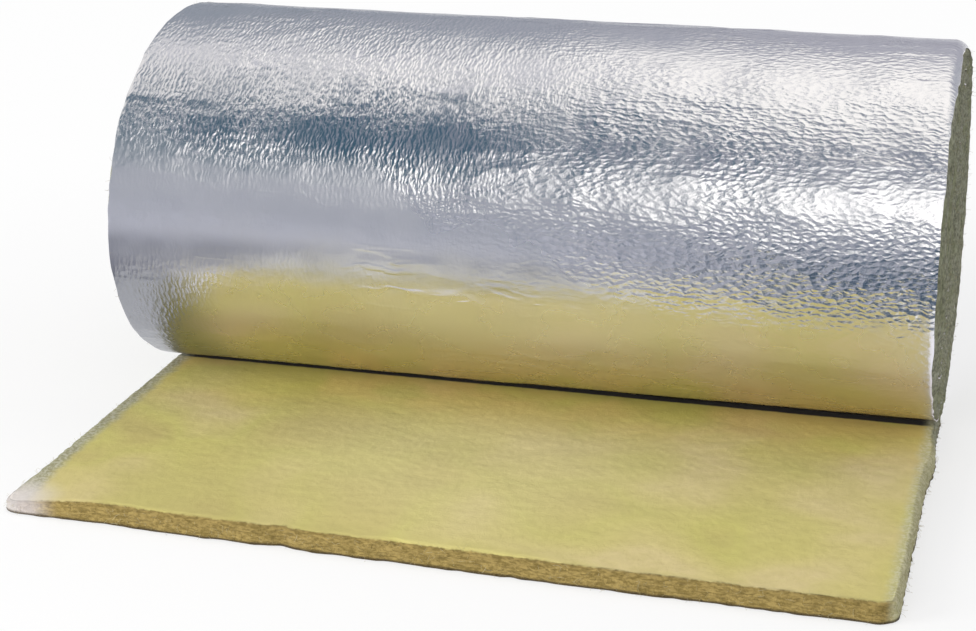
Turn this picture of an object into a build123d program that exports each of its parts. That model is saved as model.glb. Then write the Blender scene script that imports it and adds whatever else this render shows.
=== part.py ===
from build123d import *
import os
from math import acos, ceil, cos, degrees, radians, sin, sqrt

# A roll of faced glass wool blanket, partly unrolled on the floor.
# X runs along the roll, the unrolled tail points to -Y, and Z is up.
# The facing is on the outside of the roll and on the underside of the tail.
# All lengths are in millimetres.

# The blanket
roll_width = 1200.0
wool_free = 28.5
wool_wound = 23.0
facing_t = 0.5

# The oval that the outer turn starts on, and the eye in the middle of the roll
oval_depth = 708.0
oval_height = 584.0
eye_d = 80.0

# The tail, measured from the middle of the roll to its hand-cut end
tail_left = 685.0
tail_right = 730.0
tail_corner_r = 25.0
tail_lip_r = 7.0

# The groove that the facing's edge leaves between the turns, in both ends of the roll
groove_w = 4.0
groove_d = 6.0

# Worked out from the sizes above
half_width = roll_width / 2
tail_t = wool_free + facing_t
pitch = wool_wound + facing_t
mean_r = (oval_depth + oval_height) / 4
turns = (mean_r - eye_d / 2) / pitch

# Four arcs make a turn, and they join where the spiral heads 45, 135, 225 and 315 degrees.
# The arcs under and over the roll are this much larger than the mean, and those
# at its sides this much smaller, so that the roll is as deep and as high as its oval.
oval_swing = (oval_depth - oval_height) / 4 / (sqrt(2) - 1)

# The facing goes in to one turn short of the eye.
first_heading = 0.0
turn_heading = 360.0
last_heading = turn_heading * (turns - 1)


def arc_radius(n):
    """Radius of arc n: it falls by a quarter of the pitch, and the oval fades to a circle."""
    fade = 1 - n / (4 * turns)
    side = 1 if n % 2 == 0 else -1
    return mean_r - pitch * n / 4 + side * oval_swing * fade


def arc_centres(count):
    """Centres (y, z) of the arcs, each on the line from the last centre to the joint."""
    centres = [(0.0, arc_radius(0))]
    for n in range(count):
        heading = radians(45 + 90 * n)
        step = arc_radius(n) - arc_radius(n + 1)
        y, z = centres[-1]
        centres.append((y + step * sin(heading), z - step * cos(heading)))
    return centres


centres = arc_centres(ceil(4 * turns) + 1)
eye_y = sum(c[0] for c in centres[-4:]) / 4
eye_z = sum(c[1] for c in centres[-4:]) / 4

# The origin is on the floor, under the middle of the whole piece, so the middle
# line of the roll lies behind it.
back_reach = centres[1][0] + arc_radius(1)
roll_y = (max(tail_left, tail_right) - back_reach) / 2


def spot(heading, inset, n=None):
    """Point on the spiral, inset from the outer face of the facing."""
    if n is None:
        n = int((heading + 45) // 90)
    r = arc_radius(n) - inset
    y = centres[n][0] + r * sin(radians(heading))
    z = centres[n][1] - r * cos(radians(heading))
    return Vector(0, roll_y + y, z)


def spiral(start, end, inset):
    """Arcs of the spiral from one heading to another."""
    joints = [45 + 90 * n for n in range(len(centres)) if start < 45 + 90 * n < end]
    stops = [start] + joints + [end]
    arcs = []
    for a, b in zip(stops, stops[1:]):
        middle = (a + b) / 2
        n = int((middle + 45) // 90)
        arcs.append(ThreePointArc(spot(a, inset, n), spot(middle, inset, n), spot(b, inset, n)))
    return arcs


def along_roll(edges, x0, x1):
    """Solid between x0 and x1 with the section that the edges close."""
    face = make_face(Wire(edges))
    return Pos(x0, 0, 0) * extrude(face, amount=x1 - x0, dir=(1, 0, 0))


def inside_turn(inset):
    """Everything inside the outer turn, closed under the middle of the roll."""
    arcs = spiral(first_heading, turn_heading, inset)
    closing = Line(spot(turn_heading, inset), spot(first_heading, inset))
    return along_roll(arcs + [closing], -half_width, half_width)


def band(start, end, depth, x0, x1):
    """Layer of the given depth under the outer face of the facing."""
    outer = spiral(start, end, 0)
    inner = spiral(start, end, depth)
    sides = [Line(spot(h, 0), spot(h, depth)) for h in (start, end)]
    return along_roll(outer + inner + sides, x0, x1)


def tail_plan():
    """Outline of the tail from above, cut a little out of square, with soft corners."""
    front_left = (-half_width, roll_y - tail_left)
    front_right = (half_width, roll_y - tail_right)
    back = [(half_width, roll_y), (-half_width, roll_y)]
    outline = make_face(Polyline(front_left, front_right, *back, close=True))
    front = outline.vertices().sort_by(Axis.Y)[:2]
    return fillet(front, tail_corner_r)


def crease_heading():
    """Where the roll comes down on the tail."""
    n = 4
    drop = (centres[n][1] - tail_t) / arc_radius(n)
    return turn_heading - degrees(acos(drop))


def make_grooves():
    """The lines of the turns in both ends of the roll, from the crease to the eye."""
    start = crease_heading()
    left = band(start, last_heading, groove_w, -half_width, groove_d - half_width)
    right = band(start, last_heading, groove_w, half_width - groove_d, half_width)
    return left + right


def make_wool():
    """The glass wool: the wound roll with its eye and its turns, and the tail."""
    tail = Pos(0, 0, facing_t) * extrude(tail_plan(), wool_free)
    rim = tail.faces().sort_by(Axis.Z)[-1].edges().sort_by(Axis.Y)[:-1]
    tail = fillet(rim, tail_lip_r)
    tail -= inside_turn(0)
    eye = Pos(0, roll_y + eye_y, eye_z) * Rot(0, 90, 0) * Cylinder(eye_d / 2, 2 * roll_width)
    return inside_turn(facing_t) + tail - eye - make_grooves()


def make_facing():
    """The foil facing: under the tail, and around the outer turn to where it runs in."""
    tail = extrude(tail_plan(), facing_t)
    return tail + band(first_heading, turn_heading, facing_t, -half_width, half_width)


nodes = {"glass_wool": make_wool(), "foil_facing": make_facing()}

os.makedirs("parts", exist_ok=True)
for name, shape in nodes.items():
    export_step(shape, f"parts/{name}.step")

print(f"turns {turns:.2f}, oval arcs {arc_radius(0):.1f} and {arc_radius(1):.1f}")
print(f"roll middle at y {roll_y:.2f}, eye at y {roll_y + eye_y:.2f} z {eye_z:.2f}")
print(f"crease at heading {crease_heading():.1f}")
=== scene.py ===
from math import ceil, cos, degrees, exp, floor, hypot, pi, radians, sin, sqrt

import bmesh
import bpy
import numpy as np
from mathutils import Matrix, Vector


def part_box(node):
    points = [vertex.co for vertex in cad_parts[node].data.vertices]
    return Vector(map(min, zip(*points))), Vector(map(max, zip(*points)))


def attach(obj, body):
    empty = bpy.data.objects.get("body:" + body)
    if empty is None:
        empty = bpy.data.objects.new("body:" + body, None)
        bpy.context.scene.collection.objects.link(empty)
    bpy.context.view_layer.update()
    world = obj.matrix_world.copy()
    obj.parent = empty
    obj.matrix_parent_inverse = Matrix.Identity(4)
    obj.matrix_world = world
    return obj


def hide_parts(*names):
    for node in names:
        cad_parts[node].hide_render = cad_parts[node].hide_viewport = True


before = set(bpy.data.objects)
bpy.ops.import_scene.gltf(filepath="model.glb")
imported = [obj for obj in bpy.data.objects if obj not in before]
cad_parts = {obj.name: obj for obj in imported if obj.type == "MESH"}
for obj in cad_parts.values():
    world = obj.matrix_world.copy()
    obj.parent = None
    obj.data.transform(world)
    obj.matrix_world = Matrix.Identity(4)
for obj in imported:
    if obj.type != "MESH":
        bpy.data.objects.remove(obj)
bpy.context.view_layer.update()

# A roll of foil-faced glass wool, partly unrolled on the floor. X runs along the roll, the
# unrolled tail points to -Y, and Z is up. All lengths are in metres.
#
# The blanket and its facing are modelled flat first, with three flat coordinates:
#   x      across the blanket
#   run    along it, 0 under the middle of the roll, negative on the tail
#   depth  up from the facing's outer face into the wool
# A Geometry Nodes tree then winds them along the roll's spiral.

# The blanket, as the frame has it
roll_width = 1.2
half_width = roll_width / 2
wool_free = 0.0285
facing_t = 0.0005
tail_t = wool_free + facing_t
pitch = 0.0235
mean_radius = 0.323
oval_depth = 0.708
oval_height = 0.584
eye_r = 0.04
tail_left = 0.685
tail_right = 0.730
tail_corner_r = 0.025
tail_lip_r = 0.007

turns = (mean_radius - eye_r) / pitch
oval_swing = (oval_depth - oval_height) / 4 / (sqrt(2) - 1)
wound_turns = turns - 1


def arc_radius(n):
    """Radius of the spiral's arc n, a quarter of a turn long."""
    fade = 1 - n / (4 * turns)
    side = 1 if n % 2 == 0 else -1
    return mean_radius - pitch * n / 4 + side * oval_swing * fade


def run_at(heading):
    """Length of blanket from under the roll's middle to where the spiral has this heading."""
    length = 0.0
    start = 0.0
    n = 0
    while start < heading:
        end = min(45 + 90 * n, heading)
        length += arc_radius(n) * radians(end - start)
        start = end
        n += 1
    return length


back_reach = (arc_radius(0) - arc_radius(1)) * sin(radians(45)) + arc_radius(1)
roll_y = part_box("foil_facing")[1].y - back_reach

outer_turn_end = run_at(360)
blanket_end = run_at(360 * wound_turns)

# The outer turn sags onto the tail in a soft lip, just in front of where it runs in.
lip_run = run_at(341.5)


# Node trees written as expressions


class Tree:
    """A node tree whose nodes are added by one method."""

    def __init__(self, tree):
        self.tree = tree

    def add(self, kind, settings=None, inputs=None, out=0):
        """Adds a node. Its settings come first, then the values or links of its sockets."""
        made = self.tree.nodes.new(kind)
        for name, value in (settings or {}).items():
            if name == "stops":
                set_stops(made.color_ramp, value)
            else:
                setattr(made, name, value)
        for key, value in (inputs or {}).items():
            self.feed(made.inputs[key], value)
        return Value(self, made, made.outputs[out]) if made.outputs else made

    def feed(self, socket, value):
        """Links a value to a socket, or writes a constant on it."""
        if isinstance(value, Value):
            self.tree.links.new(value.socket, socket)
        elif socket.type == "VECTOR" and isinstance(value, (int, float)):
            socket.default_value = (value, value, value)
        elif socket.type == "RGBA" and len(value) == 3:
            socket.default_value = (*value, 1)
        else:
            socket.default_value = value


def set_stops(ramp, stops):
    """Puts these (place, colour) stops on a colour ramp."""
    while len(ramp.elements) < len(stops):
        ramp.elements.new(0.5)
    for element, (place, colour) in zip(ramp.elements, stops):
        element.position = place
        element.color = (*colour, 1)


class Value:
    """An output socket that takes part in Python expressions."""

    def __init__(self, tree, node, socket):
        self.tree = tree
        self.node = node
        self.socket = socket

    def of(self, name):
        """Another output of the same node."""
        return Value(self.tree, self.node, self.node.outputs[name])

    def math(self, operation, *operands):
        """A Math node, or a Vector Math node where an operand is a vector."""
        vectors = [o for o in operands if isinstance(o, tuple)]
        vectors += [o for o in operands if isinstance(o, Value) and o.socket.type == "VECTOR"]
        kind = "ShaderNodeVectorMath" if vectors else "ShaderNodeMath"
        return self.tree.add(kind, {"operation": operation}, dict(enumerate(operands)))

    def __add__(self, other):
        return self.math("ADD", self, other)

    def __radd__(self, other):
        return self.math("ADD", other, self)

    def __sub__(self, other):
        return self.math("SUBTRACT", self, other)

    def __rsub__(self, other):
        return self.math("SUBTRACT", other, self)

    def __mul__(self, other):
        return self.math("MULTIPLY", self, other)

    def __rmul__(self, other):
        return self.math("MULTIPLY", other, self)

    def __truediv__(self, other):
        return self.math("DIVIDE", self, other)

    def __rtruediv__(self, other):
        return self.math("DIVIDE", other, self)

    def __mod__(self, other):
        return self.math("FLOORED_MODULO", self, other)

    def __pow__(self, other):
        return self.math("POWER", self, other)

    def __abs__(self):
        return self.math("ABSOLUTE", self)

    def floor(self):
        return self.math("FLOOR", self)

    def sin(self):
        return self.math("SINE", self)

    def cos(self):
        return self.math("COSINE", self)

    def least(self, other):
        return self.math("MINIMUM", self, other)

    def most(self, other):
        return self.math("MAXIMUM", self, other)

    def rise(self, low, high, to_low=0.0, to_high=1.0):
        """A smooth step from to_low at low to to_high at high."""
        settings = {"interpolation_type": "SMOOTHSTEP"}
        if low > high:
            low, high, to_low, to_high = high, low, to_high, to_low
        sockets = {"Value": self, "From Min": low, "From Max": high,
                   "To Min": to_low, "To Max": to_high}
        return self.tree.add("ShaderNodeMapRange", settings, sockets)

    def through(self, *points):
        """Smooth steps from one point of (this value, result) to the next."""
        result = points[0][1]
        for (low, start), (high, end) in zip(points, points[1:]):
            result = self.rise(low, high, 0.0, end - start) + result
        return result

    def distance(self, point):
        """Distance of these coordinates from a point."""
        settings = {"operation": "DISTANCE"}
        return self.tree.add("ShaderNodeVectorMath", settings, {0: self, 1: point}, "Value")

    def axes(self):
        """The three parts of a vector."""
        parts = self.tree.add("ShaderNodeSeparateXYZ", None, {0: self})
        return parts, parts.of("Y"), parts.of("Z")

    def between(self, low, high):
        """A mix of two colours by this factor."""
        return self.tree.add("ShaderNodeMix", {"data_type": "RGBA"}, {0: self, 6: low, 7: high}, 2)

    def cells(self, scale, smoothness=0.25):
        """Distance to the nearest of the points that are scattered over these coordinates."""
        settings = {"voronoi_dimensions": "2D", "feature": "SMOOTH_F1"}
        sockets = {"Vector": self, "Scale": scale, "Smoothness": smoothness}
        return self.tree.add("ShaderNodeTexVoronoi", settings, sockets, "Distance")

    def noise(self, scale, detail=2.0, roughness=0.5, distortion=0.0, out="Fac"):
        """Noise at these coordinates, about 0.5 on average."""
        settings = {"noise_dimensions": "3D"}
        sockets = {"Vector": self, "Scale": scale, "Detail": detail,
                   "Roughness": roughness, "Distortion": distortion}
        return self.tree.add("ShaderNodeTexNoise", settings, sockets, out)


def vector(tree, x=0.0, y=0.0, z=0.0):
    """A vector from its three parts."""
    return tree.add("ShaderNodeCombineXYZ", None, {"X": x, "Y": y, "Z": z})


# The winding tree


def group_input(tree, name, kind, default=None):
    """A named input of a Geometry Nodes tree."""
    socket = tree.interface.new_socket(name, in_out="INPUT", socket_type=kind)
    if default is not None:
        socket.default_value = default
    return socket.identifier


def spiral_line(g, size):
    """The line of the facing's outer face, from under the roll's middle to the eye.

    Each point is the sum of the short chords before it. A chord's length is the radius of its
    arc times its angle, and its heading grows by one step each time."""
    step = 2 * pi / size("Steps per Turn")
    heading = (g.add("GeometryNodeInputIndex") + 0.5) * step
    arc = ((heading + pi / 4) / (pi / 2)).floor()
    side = 1 - 2 * (arc % 2)
    fade = 1 - arc / (size("Turns") * 4)
    radius = size("Mean Radius") - size("Pitch") * arc / 4 + side * fade * size("Oval Swing")
    chord = radius * 2 * (step / 2).sin()
    move = vector(g, 0.0, chord * heading.cos(), chord * heading.sin())
    sums = g.add("GeometryNodeAccumulateField", {"data_type": "FLOAT_VECTOR"},
                 {"Value": move}, "Trailing")
    count = (size("Turns") - 1) * size("Steps per Turn") + 1
    line = g.add("GeometryNodeMeshLine", None, {"Count": count})
    start = vector(g, 0.0, size("Roll Y"), 0.0)
    placed = g.add("GeometryNodeSetPosition", None, {"Geometry": line, "Position": sums + start})
    return g.add("GeometryNodeMeshToCurve", None, {"Mesh": placed})


def winding_tree():
    """Winds a flat mesh along the spiral. The tail stays flat on the floor."""
    tree = bpy.data.node_groups.new("wind_along_spiral", "GeometryNodeTree")
    g = Tree(tree)
    sockets = {"Flat Blanket": group_input(tree, "Flat Blanket", "NodeSocketGeometry")}
    tree.interface.new_socket("Wound", in_out="OUTPUT", socket_type="NodeSocketGeometry")
    defaults = {
        "Mean Radius": mean_radius, "Pitch": pitch, "Oval Swing": oval_swing, "Turns": turns,
        "Steps per Turn": 144.0, "Roll Y": roll_y, "Half Width": half_width,
        "Outer Turn": outer_turn_end, "Shoulder Width": 0.0035, "Shoulder Drop": 0.0005,
        "Crown Width": 0.014, "Crown Drop": 0.009,
        "Lip Run": lip_run, "Lip Bend": 0.016, "Sag Length": 0.22,
        "Sag Left": -0.0015, "Sag Right": -0.0030, "Slack": 0.0016, "Slack Size": 0.22,
        "Wrinkle Height": 0.0, "Wrinkle Size": 0.05, "Dent Depth": 0.0, "Dent Size": 0.06,
        "Fluff": 0.0, "Cut Fluff": 0.0, "Fluff Size": 0.012,
    }
    for name, default in defaults.items():
        sockets[name] = group_input(tree, name, "NodeSocketFloat", default)
    sockets["Finish"] = group_input(tree, "Finish", "NodeSocketMaterial")
    inputs = g.add("NodeGroupInput")

    def size(name):
        return inputs.of(name)

    flat = g.add("GeometryNodeInputPosition")
    x, run, depth = flat.axes()
    kept = {"data_type": "FLOAT_VECTOR", "domain": "POINT"}
    named = g.add("GeometryNodeStoreNamedAttribute", kept,
                  {"Geometry": size("Flat Blanket"), "Name": "flat", "Value": flat})

    on_line = g.add("GeometryNodeSampleCurve", {"mode": "LENGTH"},
                    {"Curves": spiral_line(g, size), "Length": run.most(0.0)}, "Position")
    along = on_line.of("Tangent")
    inward = g.add("ShaderNodeVectorMath", {"operation": "CROSS_PRODUCT"},
                   {0: (1.0, 0.0, 0.0), 1: along})

    # The outer turn is soft. It rounds off towards both ends of the roll, most of all over the
    # top at the right, and it sags onto the tail in a lip that leaves only a slit.
    on_outer = run.rise(0.0, 0.02) * (run - size("Outer Turn")).rise(0.0, -0.02)
    _, _, line_height = on_line.axes()
    crown = line_height.rise(0.46, 0.57) * x.rise(0.0, 0.1)
    shoulder_width = size("Shoulder Width") + size("Crown Width") * crown
    near_end = (abs(x) - size("Half Width")) / shoulder_width + 1
    uneven = (flat * (0.0, 1.0, 0.0)).noise(14.0, 2.0) + 0.5
    to_lip = run - size("Lip Run")
    shoulder_drop = (size("Shoulder Drop") + size("Crown Drop") * crown) * to_lip.rise(-0.02, -0.12)
    shoulder = near_end.most(0.0) ** 2 * uneven * shoulder_drop
    sag_shape = (to_lip / size("Sag Length")).rise(-1.0, 0.0)
    sag_shape = sag_shape * (to_lip / size("Lip Bend")).rise(1.0, 0.0)
    to_right = x / (size("Half Width") * 2) + 0.5
    sag = size("Sag Left") + (size("Sag Right") - size("Sag Left")) * to_right
    drop = (shoulder - sag * sag_shape) * on_outer
    soft_depth = drop + depth * (1 - drop / size("Pitch"))
    wound = on_line + vector(g, x, run.least(0.0), 0.0) + inward * soft_depth

    # The roll is soft: its layers wander together, less near the floor and never on the tail.
    _, _, height = wound.axes()
    rolled = height.rise(0.01, 0.12) * run.rise(0.0, 0.25)
    drift = wound.noise(1 / size("Slack Size"), 1.0, out="Color") - (0.5, 0.5, 0.5)
    _, drift_y, drift_z = drift.axes()
    slack = rolled * size("Slack") * 2
    moved = wound + vector(g, 0.0, drift_y * slack, drift_z * slack)

    # The facing is dented by the wool under it, and stands up in a few long flat wrinkles.
    across = vector(g, x * 0.22, run, 0.0)
    ridge = 1 - abs(across.noise(1 / size("Wrinkle Size"), 1.0, 0.5, 0.4) - 0.5) * 6.5
    patch = (flat + (0.0, 0.0, 3.0)).noise(7.0, 1.0).rise(0.48, 0.62)
    wrinkle = ridge.most(0.0) ** 2 * patch * size("Wrinkle Height")
    dent = flat.noise(1 / size("Dent Size"), 2.0, 0.5) * size("Dent Depth")
    outside = depth.rise(0.0004, 0.0002) * height.rise(0.004, 0.03)
    moved = moved + inward * (wrinkle + dent) * outside * -1

    # Cut wool is tufted.
    tuft = flat.noise(1 / size("Fluff Size"), 4.0, 0.65) - 0.5
    cut = g.add("GeometryNodeInputNamedAttribute", {"data_type": "FLOAT"}, {"Name": "cut"})
    loose = height.rise(0.001, 0.006) * (size("Fluff") + size("Cut Fluff") * cut) * 2
    normal = g.add("GeometryNodeInputNormal")
    moved = moved + normal * (tuft * loose)

    placed = g.add("GeometryNodeSetPosition", None, {"Geometry": named, "Position": moved})
    smooth = g.add("GeometryNodeSetShadeSmooth", None, {"Geometry": placed})
    whole = g.add("GeometryNodeRealizeInstances", None, {"Geometry": smooth})
    finished = g.add("GeometryNodeSetMaterial", None, {"Geometry": whole, "Material": size("Finish")})
    g.add("NodeGroupOutput", None, {"Wound": finished})
    return tree, sockets


def plain_mesh(piece):
    """Turns what a piece's modifiers make into its own plain mesh."""
    depsgraph = bpy.context.evaluated_depsgraph_get()
    mesh = bpy.data.meshes.new_from_object(
        piece.evaluated_get(depsgraph), preserve_all_data_layers=True, depsgraph=depsgraph)
    piece.modifiers.clear()
    piece.data = mesh
    return piece


def new_piece(name, mesh):
    """An object in the scene with this mesh."""
    piece = bpy.data.objects.new(name, mesh)
    bpy.context.scene.collection.objects.link(piece)
    return piece


def wind(name, flat_mesh, finish, sizes):
    """A piece wound from its flat mesh."""
    piece = new_piece(name, flat_mesh)
    modifier = piece.modifiers.new("wind", "NODES")
    modifier.node_group = wind_tree
    for key, value in sizes.items():
        modifier[wind_sockets[key]] = value
    modifier[wind_sockets["Finish"]] = finish
    return plain_mesh(piece)


# Flat shells


class Shell:
    """Points and faces gathered for one closed flat mesh."""

    def __init__(self):
        self.points = []
        self.cuts = []
        self.faces = []

    def row(self, points, cut=0.0):
        """Adds a row of points and returns their numbers. On a cut face, cut is 1."""
        start = len(self.points)
        self.points.extend(tuple(map(float, p)) for p in points)
        self.cuts.extend([cut] * (len(self.points) - start))
        return list(range(start, len(self.points)))

    def strip(self, a, b):
        """Quads between two rows of the same count."""
        for k in range(len(a) - 1):
            self.faces.append((a[k], a[k + 1], b[k + 1], b[k]))

    def zip(self, a, b):
        """Triangles between two rows of different counts, as a zip closes."""
        i = 0
        j = 0
        while i < len(a) - 1 or j < len(b) - 1:
            a_is_behind = (i + 1) / len(a) <= (j + 1) / len(b)
            if j == len(b) - 1 or (a_is_behind and i < len(a) - 1):
                self.faces.append((a[i], a[i + 1], b[j]))
                i += 1
            else:
                self.faces.append((a[i], b[j + 1], b[j]))
                j += 1

    def mesh(self, name):
        """The closed mesh, with its faces outwards."""
        made = bpy.data.meshes.new(name)
        made.from_pydata([tail_form(*point) for point in self.points], [], self.faces)
        made.attributes.new("cut", "FLOAT", "POINT").data.foreach_set("value", self.cuts)
        work = bmesh.new()
        work.from_mesh(made)
        bmesh.ops.remove_doubles(work, verts=work.verts, dist=1e-7)
        bmesh.ops.recalc_face_normals(work, faces=work.faces)
        work.to_mesh(made)
        work.free()
        return made


def smooth_step(value, low, high):
    """A smooth step from 0 at low to 1 at high."""
    t = min(max((value - low) / (high - low), 0.0), 1.0)
    return t * t * (3 - 2 * t)


chance_rows = 128
chance_count = 1021
chances = np.random.default_rng(5).uniform(-1, 1, (chance_rows, chance_count))


def wander(value, seed, size):
    """A smooth random number from -1 to 1 that changes over this length. The seed picks one
    row of the chances, and each use has its own."""
    place = value / size
    base = floor(place)
    share = place - base
    share = share * share * (3 - 2 * share)
    low = chances[seed, base % chance_count]
    high = chances[seed, (base + 1) % chance_count]
    return low * (1 - share) + high * share


corner_steps = 7


def even_places(low, high, spacing):
    """Evenly spaced places from low to high, at most this far apart."""
    count = ceil((high - low) / spacing)
    return [low + (high - low) * k / count for k in range(count + 1)]


def columns(half, corner, spacing):
    """Places across the blanket, closer together in the corners at both edges."""
    middle = even_places(-(half - corner), half - corner, spacing)
    steps = corner_steps
    rim = [half - corner + corner * sin(pi / 2 * k / steps) for k in range(1, steps + 1)]
    return [-x for x in reversed(rim)] + middle + rim


# A nick in the hand-cut end, and how far around the left front corner the tail is pulled out
nick_x = -0.205
pulled_reach = 0.13


def cut_line(x):
    """Reach of the tail's hand-cut end at x, without its corners."""
    share = (x + half_width) / roll_width
    straight = tail_left + (tail_right - tail_left) * share
    bow = 0.0035 * sin(pi * share)
    nick = 0.006 * exp(-((x - nick_x) / 0.016) ** 2)
    waver = 0.0016 * wander(x, 3, 0.09) + 0.0009 * wander(x, 4, 0.03)
    return straight + bow - nick + waver


def tail_reach(x, inset):
    """Reach of the tail at x, for its outline drawn in by the inset, corners and all."""
    corner = tail_corner_r - inset
    into_corner = abs(x) - (half_width - tail_corner_r)
    drop = corner - sqrt(max(corner ** 2 - max(into_corner, 0.0) ** 2, 0.0))
    return cut_line(x) - inset - drop


def outline(inset, rows, places):
    """The tail's outline drawn in by the inset: down its left side, along its end, and back."""
    side = half_width - inset
    left_reach = tail_reach(-side, inset)
    right_reach = tail_reach(side, inset)
    left = [(-side, -left_reach * t) for t in rows]
    front = [(x, -tail_reach(x, inset)) for x in places[1:-1]]
    right = [(side, -right_reach * t) for t in reversed(rows)]
    return left + front + right


def tail_form(x, run, depth):
    """A point of the blanket as the tail lies: its left front corner is pulled out and pressed
    thin, and its right side bulges a little in front of the roll."""
    pull = max(1 - hypot(x + half_width, run + tail_left) / pulled_reach, 0.0) ** 1.5
    side = max(x / half_width, 0.0) ** 8
    bulge = side * exp(-((run + 0.21) / 0.05) ** 2)
    return x - 0.018 * pull + 0.006 * bulge, run - 0.003 * pull, depth * (1 - 0.5 * pull)


def outward(line):
    """The outward direction at each point of an outline that runs left side, end, right side."""
    found = []
    for k in range(len(line)):
        x0, y0 = line[max(k - 1, 0)]
        x1, y1 = line[min(k + 1, len(line) - 1)]
        length = hypot(x1 - x0, y1 - y0)
        found.append(((y1 - y0) / length, -(x1 - x0) / length))
    return found


# The glass wool

cell = 0.0055
turn_cell = 0.008
join_run = 0.004
first_ring = 0.012
edge_levels = 9
edge_bend = 4
edge_foot = 0.0006
wound_depth = pitch - 0.0004
pocket_inset = 0.045
pocket_depth = 0.0045


def tail_height(run):
    """Height of the wool's top on the tail: it is squeezed where the roll rests on it."""
    squeeze_radius = arc_radius(4)
    return min(tail_t, wound_depth + run ** 2 / (2 * squeeze_radius))


def tail_edge(k, height):
    """Level k of the tail's edge, from its top rim down, as (outward, depth)."""
    if k <= edge_bend:
        angle = pi / 2 * k / edge_bend
        return tail_lip_r * sin(angle), height - tail_lip_r * (1 - cos(angle))
    share = (k - edge_bend) / (edge_levels - edge_bend)
    flare = 0.0022
    side_depth = height - tail_lip_r
    return tail_lip_r + flare * share, side_depth + (edge_foot - side_depth) * share


def turn_edge(k, thickness):
    """Level k of a turn's edge: it swells between the lines of the facing."""
    share = k / edge_levels
    valley = 0.0055
    swell = 0.0025
    out = tail_lip_r - valley + (valley + swell) * sin(pi * share) ** 0.6
    return out, thickness + (edge_foot - thickness) * share


def edge_at(k, run):
    """Level k of the blanket's edge at this run."""
    share = smooth_step(run, -0.03, 0.06)
    a = tail_edge(k, tail_height(min(run, 0.0)))
    b = turn_edge(k, wound_depth)
    return a[0] + (b[0] - a[0]) * share, a[1] + (b[1] - a[1]) * share


def tail_waves(x, run):
    """The soft unevenness of the tail's top."""
    free = smooth_step(-run, 0.075, 0.16)
    wide = wander(x + 0.3 * run, 11, 0.21) * wander(run, 12, 0.17)
    small = wander(x - 0.4 * run, 13, 0.06) * wander(run + 0.2 * x, 14, 0.05)
    return free * (0.0022 * wide + 0.0011 * small)


def flat_wool():
    """The whole blanket laid flat, from its hand-cut end to the end in the eye."""
    shell = Shell()
    inset = tail_lip_r
    places = columns(half_width - inset, tail_corner_r - inset, cell)
    rows = even_places(0.0, 1.0, cell / tail_left)
    hidden = -join_run

    # The top of the tail: its rows bend from straight, under the roll, to the cut end.
    top = []
    for share in rows:
        line = []
        for x in places:
            run = hidden - share * (tail_reach(x, inset) + hidden)
            line.append((x, run, tail_height(run) + tail_waves(x, run)))
        top.append(shell.row(line))
    for a, b in zip(top, top[1:]):
        shell.strip(a, b)

    # The walls of the tail follow its outline.
    rim = [row[0] for row in top] + top[-1][1:-1] + [row[-1] for row in reversed(top)]
    rim_line = [(shell.points[n][0], shell.points[n][1]) for n in rim]
    away = outward(rim_line)
    levels = [rim]
    for k in range(1, edge_levels + 1):
        ring = []
        for (x, run), (out_x, out_run) in zip(rim_line, away):
            under = smooth_step(run, -0.03, 0.0)
            if run > -0.08:
                out_x, out_run = (1.0 if x > 0 else -1.0), 0.0
            out, depth = edge_at(k, run)
            ragged = 0.0016 * wander(x * 3 + run * 5, 20 + k, 0.04) * (1 - under)
            ring.append((x + out_x * (out + ragged), run + out_run * (out + ragged), depth))
        levels.append(shell.row(ring, smooth_step(k, 0, edge_bend)))
    for a, b in zip(levels, levels[1:]):
        shell.strip(a, b)

    # The underside of the tail, which lies on the facing.
    foot = levels[-1]
    side_count = len(top)
    for k in range(side_count - 1):
        shell.faces.append((foot[k], foot[k + 1], foot[-2 - k], foot[-1 - k]))
    shell.faces.append(tuple(foot[side_count - 1:len(foot) - side_count + 1]))

    # The wound turns: one ring of points for each station.
    def side_edge(run, waves, seed):
        """The edge of a turn at one side, as (outward, depth)."""
        sag = 0.0022 * wander(run, seed, 0.16)
        edge = []
        for k, wave in enumerate(waves):
            out, depth = edge_at(k, run)
            edge.append((out + wave + sag * sin(pi * k / edge_levels), depth))
        return edge

    def station(run):
        """The right edge of a turn, its pocket for the facing, and its left edge."""
        waves = [0.0012 * wander(run, 40 + k, 0.05) + 0.0006 * wander(run, 60 + k, 0.015)
                 for k in range(edge_levels + 1)]
        base = half_width - inset
        pocket = base - pocket_inset
        right = [(base + out, run, depth) for out, depth in side_edge(run, waves, 80)]
        left = [(-base - out, run, depth) for out, depth in side_edge(run, waves[::-1], 81)]
        return right, [(x, run, pocket_depth) for x in (pocket, -pocket)], left[::-1]

    runs = even_places(first_ring, blanket_end, turn_cell)
    rings = []
    for run in runs:
        right, under, left = station(run)
        rings.append(shell.row(right, 1.0) + shell.row(under) + shell.row(left, 1.0))
    for a, b in zip(rings, rings[1:]):
        shell.strip(a + a[:1], b + b[:1])
    shell.faces.append(tuple(rings[-1]))

    # Tail and turns join where the roll hides it.
    first = rings[0]
    count = edge_levels + 1
    right_side = first[:count]
    left_side = list(reversed(first[-count:]))
    tail_left_side = [level[0] for level in levels]
    tail_right_side = [level[-1] for level in levels]
    shell.strip(tail_left_side, left_side)
    shell.strip(tail_right_side, right_side)
    shell.zip(top[0], [left_side[0], right_side[0]])
    lining = [left_side[-1]] + list(reversed(first[count:-count])) + [right_side[-1]]
    shell.zip([tail_left_side[-1], tail_right_side[-1]], lining)
    return shell.mesh("flat_wool")


# The foil facing

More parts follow.
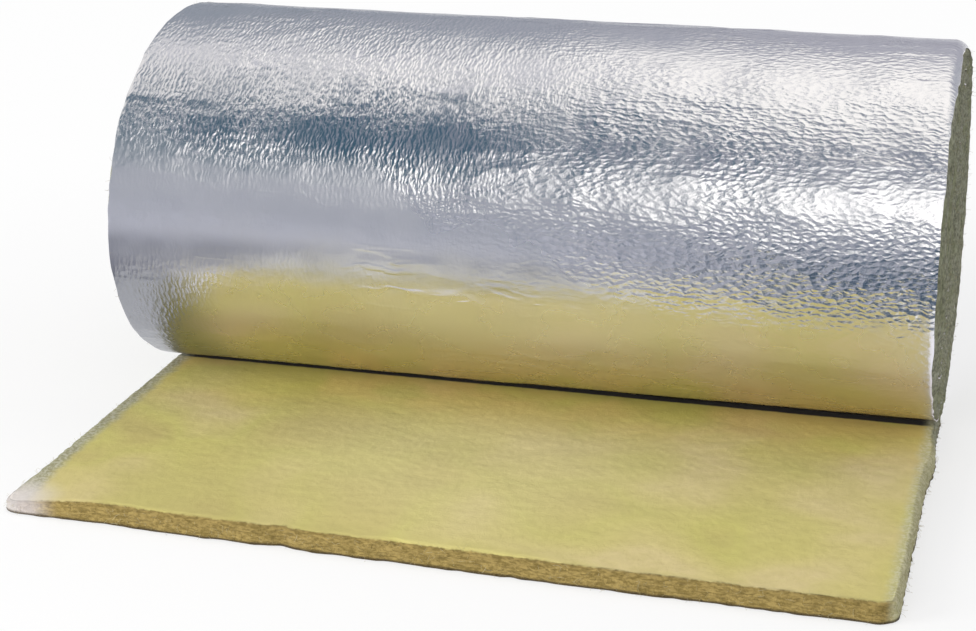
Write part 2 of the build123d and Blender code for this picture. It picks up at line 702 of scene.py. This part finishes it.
# Around the outer turn its cells are smaller from just before the lip to just after it.
wrap_start = 0.02
wrap_end = run_at(350)
foil_inset = 0.003
foil_cell = 0.0056
lip_cell = 0.0028
lip_before = 0.02
lip_after = 0.022
other_side = 50


def ragged_edge(run):
    """How far the facing's edge wanders from the blanket's, as a knife leaves it. The left edge
    is read this other_side further on, so that it differs from the right one."""
    return 0.0016 * wander(run, 90, 0.07) + 0.0010 * wander(run, 91, 0.018)


def flat_foil():
    """The whole facing laid flat: under the tail, around the outer turn, and on to the eye."""
    shell = Shell()
    places = columns(half_width - foil_inset, tail_corner_r - foil_inset, 0.006)
    rows = even_places(0.0, 1.0, 0.012 / tail_left)

    # Under the tail: an outline with a thin rim
    line = outline(foil_inset, rows, places)
    rings = [shell.row((x, run, depth) for x, run in line) for depth in (0.0, facing_t)]
    shell.strip(rings[0], rings[1])
    count = len(rows)
    for ring in rings:
        for k in range(count - 1):
            shell.faces.append((ring[k], ring[k + 1], ring[-2 - k], ring[-1 - k]))
        shell.faces.append(tuple(ring[count - 1:len(ring) - count + 1]))

    # Around the outer turn: a fine outer face, and an inner face that keeps clear of its dents
    def inner_face(run, left_reach, right_reach):
        flap = half_width - 0.008
        clear = half_width - 0.05
        clear_depth = 0.0035
        return [(right_reach, run, facing_t), (flap, run, facing_t), (clear, run, clear_depth),
                (-clear, run, clear_depth), (-flap, run, facing_t), (-left_reach, run, facing_t)]

    across = columns(half_width, 0.03, foil_cell)
    stations = even_places(wrap_start, lip_run - lip_before, foil_cell)
    stations += even_places(lip_run - lip_before, lip_run + lip_after, lip_cell)[1:]
    stations += even_places(lip_run + lip_after, wrap_end, foil_cell)[1:]
    outer = []
    inner = []
    for run in stations:
        right_reach = half_width + ragged_edge(run)
        left_reach = half_width + ragged_edge(run + other_side)
        face = []
        for x in across:
            edge = (abs(x) / half_width) ** 30
            stretch = edge * ((right_reach if x > 0 else left_reach) - half_width)
            face.append((x + (stretch if x > 0 else -stretch), run, 0.0))
        outer.append(shell.row(face))
        inner.append(shell.row(inner_face(run, left_reach, right_reach)))
    for a, b in zip(outer, outer[1:]):
        shell.strip(a, b)
    for a, b in zip(inner, inner[1:]):
        shell.strip(a, b)
    for edge_outer, edge_inner in ((0, -1), (-1, 0)):
        shell.strip([row[edge_outer] for row in outer], [row[edge_inner] for row in inner])

    # On to the eye: a thin ribbon whose edges show between the turns
    ribbon_runs = even_places(wrap_end + foil_cell, blanket_end - foil_inset, turn_cell)
    ribbon_reach = half_width - 0.001
    ribbons = []
    for run in ribbon_runs:
        right = ribbon_reach + ragged_edge(run)
        left = ribbon_reach + ragged_edge(run + other_side)
        section = [(-left, 0.0), (right, 0.0), (right, facing_t), (-left, facing_t)]
        ribbons.append(shell.row((x, run, depth) for x, depth in section))
    for a, b in zip(ribbons, ribbons[1:]):
        shell.strip(a + a[:1], b + b[:1])
    shell.faces.append(tuple(ribbons[-1]))

    # The three parts are one sheet.
    start, end = rings[0][0], rings[0][-1]
    start_top, end_top = rings[1][0], rings[1][-1]
    shell.zip([start, end], outer[0])
    shell.zip([end_top, start_top], inner[0])
    shell.faces.append((start, outer[0][0], inner[0][-1], start_top))
    shell.faces.append((end, outer[0][-1], inner[0][0], end_top))
    first = ribbons[0]
    shell.zip(outer[-1], first[:2])
    shell.zip(inner[-1], first[2:])
    shell.faces.append((outer[-1][0], first[0], first[3], inner[-1][-1]))
    shell.faces.append((outer[-1][-1], first[1], first[2], inner[-1][0]))
    return shell.mesh("flat_foil")


# Materials


def new_material(name):
    """An empty material, and its node tree to add to."""
    material = bpy.data.materials.new(name)
    material.use_nodes = True
    material.node_tree.nodes.clear()
    return material, Tree(material.node_tree)


def finish_material(m, sockets):
    """Ends a material with its shader."""
    shader = m.add("ShaderNodeBsdfPrincipled", None, sockets)
    m.add("ShaderNodeOutputMaterial", None, {"Surface": shader})


def attribute(m, name):
    """A vector that the mesh keeps at each of its points."""
    return m.add("ShaderNodeAttribute", {"attribute_name": name}, None, "Vector")


def bump(m, height):
    """A normal from a height in metres."""
    return m.add("ShaderNodeBump", None, {"Strength": 1.0, "Distance": 1.0, "Height": height}, "Normal")


left_front_corner = (-half_width, -tail_left, 0.0)


def wool_finish():
    """Matted yellow glass fibre: mottled on top, darker and streaked where it is cut."""
    material, m = new_material("glass_wool")
    place = m.add("ShaderNodeTexCoord", None, None, "Object")
    flat = attribute(m, "flat")
    x, run, depth = flat.axes()
    cut = m.add("ShaderNodeAttribute", {"attribute_name": "cut"}, None, "Fac")

    # The top, in broad soft patches from green to mustard and beige
    stops = [(0.34, (0.54, 0.46, 0.16)), (0.46, (0.58, 0.53, 0.165)), (0.56, (0.62, 0.54, 0.205)),
             (0.68, (0.67, 0.56, 0.27))]
    top = m.add("ShaderNodeValToRGB", {"stops": stops}, {0: place.noise(5.0, 1.5, 0.4, 0.3)})
    small = place.noise(38.0, 4.0, 0.6)
    top = small.rise(0.60, 0.36, 0.0, 0.18).between(top, (0.46, 0.39, 0.12))
    # Painted light: a lighter pool in the middle of the tail.
    painted_light_pool = flat.distance((-0.02, -0.40, 0.0)).rise(0.42, 0.12, 0.0, 0.55)
    top = painted_light_pool.between(top, (0.70, 0.62, 0.29))
    # Painted shade: the front left of the tail is darker, where less light falls.
    painted_shade_front_left = run.rise(-0.46, -0.60) * x.rise(-0.05, -0.35)
    top = (painted_shade_front_left * 0.5).between(top, (0.50, 0.43, 0.165))
    # Partly painted shade: towards the roll the tail turns darker and more saturated, in mottled green
    # and orange patches.
    painted_shade_near_roll = run.rise(-0.34, -0.10, 0.0, 0.75)
    patches = (place + (0.0, 0.0, 6.0)).noise(6.5, 2.0, 0.5, 0.3).rise(0.40, 0.60)
    top = painted_shade_near_roll.between(top, patches.between((0.46, 0.42, 0.065), (0.57, 0.42, 0.105)))

    # Painted shadow: a near-black line under the roll stands in for the dark slit where the roll rests
    # on the tail and presses the wool
    slant = x.rise(-half_width, half_width, 0.0, 0.010)
    painted_slit_shadow = run + vector(m, x).noise(9.0, 2.0) * 0.006 + slant
    top = painted_slit_shadow.rise(-0.098, -0.093).between(top, (0.006, 0.003, 0.001))

    # Pale bruised fibre along both sides, and at the left front corner
    speckle = (flat + (2.0, 0.0, 0.0)).noise(170.0, 3.0, 0.7)
    to_left = x.rise(0.5, -0.5)
    side = (abs(x) + to_left * 0.010 + (small - 0.5) * 0.02).rise(0.577, 0.597)
    left_fringe = speckle.rise(0.40, 0.62).between((0.22, 0.22, 0.15), (0.46, 0.46, 0.38))
    right_fringe = speckle.rise(0.40, 0.62).between((0.44, 0.43, 0.22), (0.58, 0.57, 0.42))
    fringe = to_left.between(right_fringe, left_fringe)
    top = (side * 0.8).between(top, fringe)
    corner = flat.distance(left_front_corner)
    top = corner.rise(0.085, 0.02, 0.0, 0.8).between(top, (0.68, 0.63, 0.62))

    # The cut faces: ochre where the tail was cut by hand, grey-green along both sides. The grey-green
    # is partly the cut fibre's own colour and partly painted shade on the roll's ends.
    layers = vector(m, x * 0.3, run * 0.3, depth)
    streaks = layers.noise(330.0, 4.0, 0.65, 0.5)
    tufts = (flat + (7.0, 0.0, 0.0)).noise(120.0, 4.0, 0.65)
    edge = streaks.rise(0.35, 0.65).between((0.175, 0.127, 0.038), (0.33, 0.245, 0.085))
    # Partly painted shade: the ends are darker and greyer than the cut fibre alone.
    matted = tufts * 0.45 + streaks * 0.55
    ends = matted.rise(0.38, 0.62).between((0.17, 0.17, 0.115), (0.43, 0.43, 0.315))
    olive = (flat + (9.0, 0.0, 0.0)).noise(16.0, 2.0).rise(0.45, 0.65, 0.0, 0.6)
    ends = (olive * streaks).between(ends, (0.24, 0.27, 0.09))
    # Partly painted light: the cut faces on the tail's right side, which the lamps leave in shade, are
    # lighter. Their speckle is the crushed fibre's own tone.
    unwound = run.rise(-0.10, -0.22) * x.rise(0.0, 0.1)
    bruised_fibre_and_painted_light = speckle.rise(0.38, 0.62).between((0.46, 0.43, 0.22), (0.70, 0.66, 0.42))
    ends = (unwound * 0.85).between(ends, bruised_fibre_and_painted_light)
    by_hand = run.rise(-0.62, -0.66) * abs(x).rise(0.600, 0.585)
    cut_colour = by_hand.between(ends, edge)
    cut_colour = corner.rise(0.075, 0.02, 0.0, 0.8).between(cut_colour, (0.50, 0.46, 0.46))
    # Painted shadow: the foot of the cut faces goes near black, a contact shadow along the floor.
    under = depth.rise(0.0055, 0.002) * run.rise(0.05, 0.0)
    cut_colour = (under * 0.85).between(cut_colour, (0.05, 0.035, 0.015))
    torn = cut + (tufts - 0.5) * 0.9 * cut.rise(0.0, 0.25) * cut.rise(1.0, 0.7)
    colour = torn.rise(0.0, 0.45).between(top, cut_colour)

    fibres = vector(m, x * 0.3, run, depth).noise(900.0, 3.0, 0.7, 1.2)
    height = fibres * 0.00035 + small * 0.0014 + (streaks * 0.0016 + tufts * 0.004) * cut
    finish_material(m, {
        "Base Color": colour, "Roughness": 0.95, "Specular IOR Level": 0.08,
        "Sheen Weight": 0.06, "Sheen Roughness": 0.6, "Normal": bump(m, height)})
    return material


def fibre_finish():
    """Loose glass fibre, paler than the mat."""
    material, m = new_material("loose_fibre")
    place = m.add("ShaderNodeTexCoord", None, None, "Object")
    colour = place.noise(30.0, 2.0).rise(0.4, 0.6).between((0.36, 0.30, 0.13), (0.50, 0.46, 0.32))
    finish_material(m, {"Base Color": colour, "Roughness": 0.8})
    return material


def foil_finish():
    """Bright laminated foil. Its scrim and the wool under it crinkle it all over."""
    material, m = new_material("foil_facing")
    flat = attribute(m, "flat")
    x, run, _ = flat.axes()
    place = vector(m, x, run, 0.0)
    to_lip = run - lip_run

    # The crinkles: short dashes that run around the roll at the left, and scales that lie
    # along it at the right
    zones = (place + (0.7, 0.0, 0.0)).noise(2.2, 2.0, 0.5)
    to_right = (x + (zones - 0.5) * 0.6).rise(-0.15, 0.20)
    bent = place + (place.noise(55.0, 2.0, 0.5, out="Color") - (0.5, 0.5, 0.5)) * 0.012
    bent_x, bent_run, _ = bent.axes()
    dashes = vector(m, bent_x, bent_run * 0.36, 0.0).cells(200.0)
    scales = vector(m, bent_x * 0.45, bent_run + 3, 0.0).cells(165.0)
    crimp = place.noise(420.0, 2.0, 0.6, 0.5)
    creases = abs(vector(m, x * 0.4, run, 2.0).noise(38.0, 3.0, 0.55, 0.8) * 2 - 1)
    strength = (place + (0.0, 0.0, 4.0)).noise(7.0, 2.0, 0.5).rise(0.3, 0.7, 0.55, 1.35)
    crinkle = dashes + (scales - dashes) * to_right

    # It is calmer below a line that falls to the right, and taut just above that line, left of
    # the middle.
    calm_to = x.through((-0.22, 0.49), (-0.10, 0.38), (0.30, 0.32)) + (zones - 0.5) * 0.10
    calm = (to_lip + calm_to).rise(-0.03, 0.03)
    low = to_lip.rise(-0.34, -0.28)
    left_foot = low * x.rise(-0.40, -0.52)
    right_foot = to_lip.rise(-0.47, -0.41) * x.rise(0.1, 0.3)
    strength = strength * (1 - calm * (1 - left_foot * 0.6) * 0.68) * (1 + right_foot * 0.4)
    taut = x.through((-0.36, 0.0), (-0.26, 1.0), (-0.10, 1.0), (0.0, 0.0))
    taut = taut * to_lip.rise(-0.65, -0.61) * to_lip.rise(-0.47, -0.51)
    strength = strength * (1 - taut * 0.4)
    wandering = vector(m, x * 0.28, run, 5.0).noise(30.0, 2.0, 0.5, 0.3)
    in_patches = (place + (0.0, 0.0, 12.0)).noise(8.0, 2.0).rise(0.45, 0.62)
    wrinkles = abs(wandering * 2 - 1).rise(0.14, 0.0) * in_patches * x.rise(-0.30, -0.10, 0.3, 1.0)
    waves = vector(m, x * 0.5, run, 9.0).noise(16.0, 2.0)
    height = (crinkle * 0.0008 + crimp * 0.00018 + creases * 0.0006) * strength
    height = height + (wrinkles * 0.0004 + waves * 0.0014) * calm
    rough = place.noise(11.0, 3.0, 0.6).rise(0.3, 0.7, 0.18, 0.27)
    rough = rough + calm * (0.12 - low * 0.07) - taut * 0.06

    # Painted reflection and painted shade: the base colour is darker at the foot of the left end and in
    # a faint, mottled strip above the wool's reflection, standing in for a darker floor mirrored there,
    # and darker and warmer close to the lip
    painted_strip_mottle = (place + (0.0, 0.0, 8.0)).noise(9.0, 3.0, 0.55).rise(0.35, 0.65)
    # Painted reflection: darker foil at the foot of the left end.
    foot = to_lip.rise(-0.33, -0.29) * x.rise(-0.42, -0.53)
    # Painted reflection: a faint, mottled dark strip above the wool's reflection.
    strip = to_lip.rise(-0.375, -0.345) * to_lip.rise(-0.295, -0.325)
    strip = strip * x.rise(0.30, 0.0) * (0.3 + painted_strip_mottle * 0.25)
    # Painted shade: darker, warmer foil close to the lip.
    painted_shade_near_lip = to_lip.rise(-0.26, -0.20)
    # Painted reflection: a faint lilac tint low down.
    foil_base_with_painted_tints = low.between((0.90, 0.90, 0.92), (0.92, 0.90, 0.97))
    foil_base_with_painted_tints = painted_shade_near_lip.between(foil_base_with_painted_tints, (0.79, 0.74, 0.77))
    colour = (strip + foot).least(1.0).between(foil_base_with_painted_tints, (0.38, 0.39, 0.43))
    finish_material(m, {
        "Base Color": colour, "Metallic": 1.0, "Roughness": rough, "Normal": bump(m, height)})
    return material


# Loose fibres


long_cell_area = 0.0003


def fibre_tree():
    """Scatters short bent fibres over the cut faces of the blanket."""
    tree = bpy.data.node_groups.new("scatter_fibres", "GeometryNodeTree")
    g = Tree(tree)
    sockets = {"Blanket": group_input(tree, "Blanket", "NodeSocketGeometry")}
    tree.interface.new_socket("Fibres", in_out="OUTPUT", socket_type="NodeSocketGeometry")
    defaults = {"Density": 2600.0, "Tail Density": 12000.0, "Length": 0.010, "Thickness": 0.00016}
    for name, default in defaults.items():
        sockets[name] = group_input(tree, name, "NodeSocketFloat", default)
    sockets["Seed"] = group_input(tree, "Seed", "NodeSocketInt", 3)
    sockets["Finish"] = group_input(tree, "Finish", "NodeSocketMaterial")
    inputs = g.add("NodeGroupInput")

    def size(name):
        return inputs.of(name)

    # The cut faces are made of small cells, and the hidden faces between them of long ones.
    area = g.add("GeometryNodeInputMeshFaceArea")
    long_cell = area.math("GREATER_THAN", area, long_cell_area)
    faces = g.add("GeometryNodeDeleteGeometry", {"domain": "FACE"},
                  {"Geometry": size("Blanket"), "Selection": long_cell})
    cut = g.add("GeometryNodeInputNamedAttribute", {"data_type": "FLOAT"}, {"Name": "cut"})
    flat = g.add("GeometryNodeInputNamedAttribute", {"data_type": "FLOAT_VECTOR"}, {"Name": "flat"})
    _, run, _ = flat.axes()
    density = size("Tail Density") + (size("Density") - size("Tail Density")) * run.rise(-0.05, 0.0)
    points = g.add("GeometryNodeDistributePointsOnFaces", {"distribute_method": "RANDOM"},
                   {"Mesh": faces, "Density": cut.rise(0.3, 0.9) * density, "Seed": size("Seed")})

    reach = size("Length")
    bend = g.add("GeometryNodeCurveQuadraticBezier", None, {
        "Resolution": 4, "Start": (0.0, 0.0, 0.0), "Middle": vector(g, reach * 0.15, 0.0, reach * 0.6),
        "End": vector(g, reach * 0.55, 0.0, reach * 0.8)})
    ring = g.add("GeometryNodeCurvePrimitiveCircle", None,
                 {"Resolution": 3, "Radius": size("Thickness")})
    fibre = g.add("GeometryNodeCurveToMesh", None,
                  {"Curve": bend, "Profile Curve": ring, "Fill Caps": True})
    turn = g.add("FunctionNodeRandomValue", {"data_type": "FLOAT_VECTOR"}, {
        "Min": (-1.35, -1.35, 0.0), "Max": (1.35, 1.35, 6.28), "Seed": size("Seed")})
    leaning = g.add("FunctionNodeRotateRotation", {"rotation_space": "LOCAL"},
                    {"Rotation": points.of("Rotation"), "Rotate By": turn})
    length = g.add("FunctionNodeRandomValue", {"data_type": "FLOAT"}, {
        "Min": 0.35, "Max": 1.1, "Seed": size("Seed")}, 1)
    strewn = g.add("GeometryNodeInstanceOnPoints", None, {
        "Points": points, "Instance": fibre, "Rotation": leaning, "Scale": length})
    whole = g.add("GeometryNodeRealizeInstances", None, {"Geometry": strewn})
    at = g.add("GeometryNodeInputPosition")
    at_x, at_y, at_z = at.axes()
    on_floor = vector(g, at_x, at_y, at_z.most(0.0))
    laid = g.add("GeometryNodeSetPosition", None, {"Geometry": whole, "Position": on_floor})
    finished = g.add("GeometryNodeSetMaterial", None, {"Geometry": laid, "Material": size("Finish")})
    g.add("NodeGroupOutput", None, {"Fibres": finished})
    return tree, sockets


# The pieces

sharp_from = radians(50)
wind_tree, wind_sockets = winding_tree()
slack = {"Slack": 0.0016, "Slack Size": 0.22}

wool_sizes = {**slack, "Fluff": 0.0008, "Cut Fluff": 0.0024}
wool = wind("wool_blanket", flat_wool(), wool_finish(), wool_sizes)
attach(wool, "root")
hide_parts("glass_wool")

foil_sizes = {**slack, "Wrinkle Height": 0.0012, "Dent Depth": 0.0016}
foil = wind("foil_facing_sheet", flat_foil(), foil_finish(), foil_sizes)
foil.data.set_sharp_from_angle(angle=sharp_from)
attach(foil, "root")
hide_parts("foil_facing")


def make_fibres():
    """The loose fibres that stand out of the blanket's cut faces."""
    tree, sockets = fibre_tree()
    fibres = new_piece("loose_fibres", wool.data.copy())
    modifier = fibres.modifiers.new("scatter", "NODES")
    modifier.node_group = tree
    modifier[sockets["Finish"]] = fibre_finish()
    plain_mesh(fibres)
    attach(fibres, "root")


make_fibres()


# The floor, a little under the facing so that the two don't share a plane

floor_level = -0.0008


def make_floor():
    """A white floor. What the foil mirrors of it is dimmer outside the picture."""
    work = bmesh.new()
    bmesh.ops.create_grid(work, x_segments=1, y_segments=1, size=20)
    mesh = bpy.data.meshes.new("floor")
    work.to_mesh(mesh)
    work.free()
    for vertex in mesh.vertices:
        vertex.co.z = floor_level
    floor_piece = new_piece("floor", mesh)
    material, m = new_material("pale_floor")
    place = m.add("ShaderNodeTexCoord", None, None, "Object")
    x, y, _ = place.axes()
    in_front = ((x - 0.12) * 0.25 - (y + 0.68) * 0.968).most(0.0)
    at_left = ((x + 0.45) * -0.894 - (y + 0.83) * 0.447).most(0.0) * y.rise(0.7, -0.3)
    outside = (in_front * in_front + at_left * at_left) ** 0.5
    paths = m.add("ShaderNodeLightPath")
    dimmer = outside.rise(0.0, 0.08) * (1 - paths)
    grey = x.rise(-0.1, 0.45).between((0.33, 0.34, 0.39), (0.05, 0.085, 0.13))
    colour = dimmer.between((0.92, 0.92, 0.92), grey)
    surface = m.add("ShaderNodeBsdfDiffuse", None, {"Color": colour})
    seen = paths.most(paths.of("Is Glossy Ray")).most(paths.of("Is Transmission Ray"))
    glow = m.add("ShaderNodeEmission", None, {"Color": (1.0, 1.0, 1.0), "Strength": 1.0})
    far = place.distance((0.0, -0.3, 0.0)).rise(0.8, 2.2, 0.65, 0.95)
    share = seen * far * (1 - dimmer)
    mixed = m.add("ShaderNodeMixShader", None, {0: share, 1: surface, 2: glow})
    m.add("ShaderNodeOutputMaterial", None, {"Surface": mixed})
    mesh.materials.append(material)


make_floor()


# The light: a painted room, and two large soft lamps


def make_world():
    """The room that the foil mirrors, by the angle over the roll in degrees, 0 in front and 180
    behind, and by how far a direction points along the roll."""
    world = bpy.data.worlds.new("studio")
    bpy.context.scene.world = world
    world.use_nodes = True
    world.node_tree.nodes.clear()
    w = Tree(world.node_tree)
    towards = w.add("ShaderNodeTexCoord", None, None, "Generated")
    x, y, z = towards.axes()
    over = z.math("ARCTAN2", z, y * -1) * degrees(1)
    over = over + over.rise(-90.1, -89.9, 360, 0)
    to_right = x.rise(-0.36, -0.06)

    # From the horizon up: the far end of the room, with a window at its right, a dim ceiling,
    # the overhead light, and the rear of the room behind it
    low = x.rise(-0.16, -0.08).between((0.37, 0.385, 0.44), (0.20, 0.23, 0.29))
    high = x.rise(-0.37, -0.30).between((0.385, 0.40, 0.455), (0.31, 0.33, 0.38))
    room = over.rise(4, 26).between(low, high)
    stops = [(0.61, (0.045, 0.105, 0.155)), (0.70, (0.055, 0.115, 0.175)), (0.76, (0.17, 0.21, 0.26)),
             (0.83, (0.19, 0.21, 0.27)), (0.93, (0.25, 0.27, 0.33))]
    dim = w.add("ShaderNodeValToRGB", {"stops": stops}, {0: x + 1})
    bright = x.rise(-0.29, -0.14).between((0.55, 0.55, 0.61), (1.08, 1.05, 1.01))
    bright = x.rise(-0.35, -0.41).between(bright, (0.84, 0.82, 0.81))
    rear = to_right.between((0.28, 0.31, 0.36), (0.42, 0.42, 0.48))

    dim_from = x.through((-0.40, 38), (-0.34, 34), (-0.31, 36), (-0.26, 68), (-0.22, 64), (-0.17, 58))
    colour = (over - dim_from).rise(-4, 4).between(room, dim)
    window_from = x.rise(-0.20, -0.08, 18, 28)
    window_to = x.rise(-0.20, -0.12, 40, 60)
    window = (over - window_from).rise(-4, 4) * (window_to - over).rise(-4, 4) * x.rise(-0.195, -0.14)
    colour = window.between(colour, (1.44, 1.41, 1.37))
    bright_from = x.through((-0.37, 86), (-0.33, 104), (-0.30, 108), (-0.26, 108), (-0.23, 103),
                            (-0.19, 90), (-0.12, 84))
    colour = (over - bright_from).rise(-4, 4).between(colour, bright)
    rear_from = x.rise(-0.30, -0.22, 127, 138)
    colour = (over - rear_from).rise(-5, 5).between(colour, rear)

    # To both sides the same room: a window, a dim ceiling, the overhead light and the rear
    pane = (0.90, 0.89, 0.87)
    overhead = (0.88, 0.87, 0.85)
    stops = [(0.02, (0.48, 0.49, 0.53)), (0.16, (0.42, 0.44, 0.49)), (0.22, pane),
             (0.33, pane), (0.39, (0.30, 0.33, 0.38)), (0.49, (0.34, 0.37, 0.42)),
             (0.55, overhead), (0.70, overhead), (0.76, (0.36, 0.38, 0.43)),
             (0.87, (0.38, 0.40, 0.45)), (0.94, (0.66, 0.66, 0.68))]
    sides = w.add("ShaderNodeValToRGB", {"stops": stops}, {0: over / 180})
    side = x.rise(-0.58, -0.72).most(x.rise(0.30, 0.55)) * over.rise(-5, 5)
    colour = side.between(colour, sides)
    back = w.add("ShaderNodeBackground", None, {"Color": colour, "Strength": 1.0})
    w.add("ShaderNodeOutputWorld", None, {"Surface": back})


make_world()


def area_light(name, place, target, width, height, power, colour):
    """A soft lamp aimed at a point, of this size in metres and this power in watts."""
    data = bpy.data.lights.new(name, "AREA")
    data.shape = "RECTANGLE"
    data.size = width
    data.size_y = height
    data.energy = power
    data.color = colour
    lamp = bpy.data.objects.new(name, data)
    lamp.visible_glossy = False
    lamp.location = place
    lamp.rotation_euler = (Vector(target) - Vector(place)).to_track_quat("-Z", "Y").to_euler()
    bpy.context.scene.collection.objects.link(lamp)


tail_middle = (0.0, -0.3, 0.0)
warm_white = (1.0, 0.98, 0.95)
left_place = (-6.6, -4.6, 2.6)
front_place = (-1.8, -7.8, 2.4)
left_watts = 450
front_watts = 360
area_light("fill_left", left_place, tail_middle, 3.5, 2.5, left_watts, warm_white)
area_light("fill_front", front_place, tail_middle, 4.0, 2.2, front_watts, warm_white)


# The camera, as solved from the outlines in the photo

camera_down = 0.3196
camera_round = 0.2604
camera_data = bpy.data.cameras.new("camera")
camera_data.sensor_width = 36
camera_data.lens = 83.01
camera = bpy.data.objects.new("camera", camera_data)
camera.location = (0.7594, -3.0727, 1.2230)
camera.rotation_euler = (pi / 2 - camera_down, 0, camera_round)
bpy.context.scene.collection.objects.link(camera)
bpy.context.scene.camera = camera
bpy.context.scene.view_settings.view_transform = "Standard"
